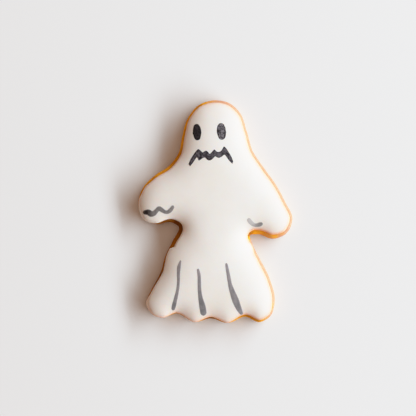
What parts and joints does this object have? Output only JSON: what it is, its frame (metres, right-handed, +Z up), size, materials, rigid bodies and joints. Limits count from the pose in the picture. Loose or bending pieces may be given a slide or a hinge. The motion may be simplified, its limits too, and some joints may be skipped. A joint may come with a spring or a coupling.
{
  "type": "iced sugar cookie",
  "caption": "Ghost-shaped sugar cookie lying flat, with smooth white icing inside a narrow golden rim and a plain face, sleeve lines and folds drawn in edible ink.",
  "frame": {"origin": "middle of the cookie's box on its flat underside", "axes": "+Y towards the head, +X towards the sleeve on the right as the face is seen, +Z up through the icing"},
  "size_m": [0.0622, 0.0897, 0.0072],
  "materials": {
    "biscuit": "dry baked crust, golden, darker where it was hottest",
    "icing": "set icing, smooth, almost matt, slightly warm white",
    "eye_ink": "edible pen ink, black, patchy",
    "mouth_ink": "edible pen ink, dark grey, patchy",
    "sleeve_ink": "edible pen ink, thin grey",
    "fold_ink": "edible pen ink, flat light grey"
  },
  "bodies": {
    "root": {"biscuit": "biscuit", "icing": "icing", "eye_left": "eye_ink", "eye_right": "eye_ink", "mouth": "mouth_ink", "sleeve_line_left": "sleeve_ink", "sleeve_line_right": "sleeve_ink", "fold_left": "fold_ink", "fold_middle": "fold_ink", "fold_right": "fold_ink"}
  },
  "joints": []
}
